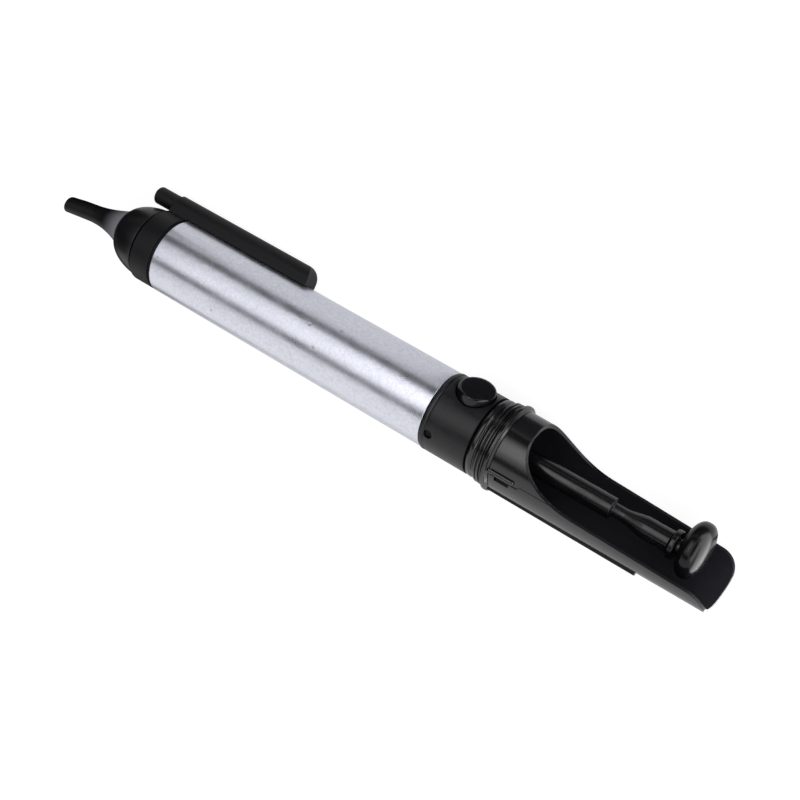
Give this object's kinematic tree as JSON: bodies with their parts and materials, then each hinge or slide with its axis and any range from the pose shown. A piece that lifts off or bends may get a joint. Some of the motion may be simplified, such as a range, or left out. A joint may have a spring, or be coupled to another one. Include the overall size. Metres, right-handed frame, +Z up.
{
  "type": "desoldering pump",
  "caption": "Spring-driven hand pump that sucks molten solder through a soft nozzle, with a guard trough, trigger button and stored cleaning pin.",
  "frame": {"origin": "centre of the bounding box at its lowest plane, with the pump lying on its flange ring, its clip just clear of the surface", "axes": "+X along the pump towards the nozzle's tip, -Y out of the trigger button and the guard's opening, +Z up"},
  "size_m": [0.1988, 0.0232, 0.0223],
  "materials": {
    "nozzle": "matte black heat-resistant tip",
    "nose_cap": "satin black moulding",
    "nose_seal": "black O-ring",
    "clip": "satin black moulding",
    "cleaning_pin_grip": "matte black",
    "cleaning_needle": "drawn steel wire",
    "barrel": "satin drawn aluminium with small marks",
    "main_spring": "spring wire",
    "piston": "natural nylon",
    "piston_seal": "greased black O-ring",
    "piston_screw": "zinc plated",
    "bumper": "black rubber",
    "rod_guide": "black moulding",
    "rear_housing": "scuffed satin black",
    "lock_pin_top": "darkened steel",
    "lock_pin_bottom": "darkened steel",
    "button": "glossy black",
    "latch_plate": "stamped steel",
    "button_spring": "spring wire",
    "guard_sleeve": "glossy black moulding",
    "plunger_rod": "glossy black, worn",
    "stop_collar": "black",
    "knob": "glossy black"
  },
  "bodies": {
    "pump_body": {"nozzle": "nozzle", "nose_cap": "nose_cap", "nose_seal": "nose_seal", "clip": "clip", "barrel": "barrel", "main_spring": "main_spring", "bumper": "bumper", "rod_guide": "rod_guide", "rear_housing": "rear_housing", "lock_pin_top": "lock_pin_top", "lock_pin_bottom": "lock_pin_bottom", "button_spring": "button_spring", "guard_sleeve": "guard_sleeve"},
    "plunger": {"plunger_rod": "plunger_rod", "piston": "piston", "piston_seal": "piston_seal", "piston_screw": "piston_screw", "stop_collar": "stop_collar", "knob": "knob"},
    "trigger": {"button": "button", "latch_plate": "latch_plate"},
    "cleaning_pin": {"cleaning_pin_grip": "cleaning_pin_grip", "cleaning_needle": "cleaning_needle"}
  },
  "joints": [
    {"name": "plunger_slide", "type": "slide", "parent": "pump_body", "child": "plunger", "axis": [1, 0, 0], "range_m": [0, 0.0415], "stiffness_N_per_m": 120, "springref_m": -0.025, "deforming": ["main_spring"]},
    {"name": "trigger_press", "type": "slide", "parent": "pump_body", "child": "trigger", "axis": [0, 1, 0], "range_m": [0, 0.0015], "stiffness_N_per_m": 800, "deforming": ["button_spring"]},
    {"name": "cleaning_pin_pull", "type": "slide", "parent": "pump_body", "child": "cleaning_pin", "axis": [1, 0, 0], "range_m": [0, 0.045]}
  ]
}
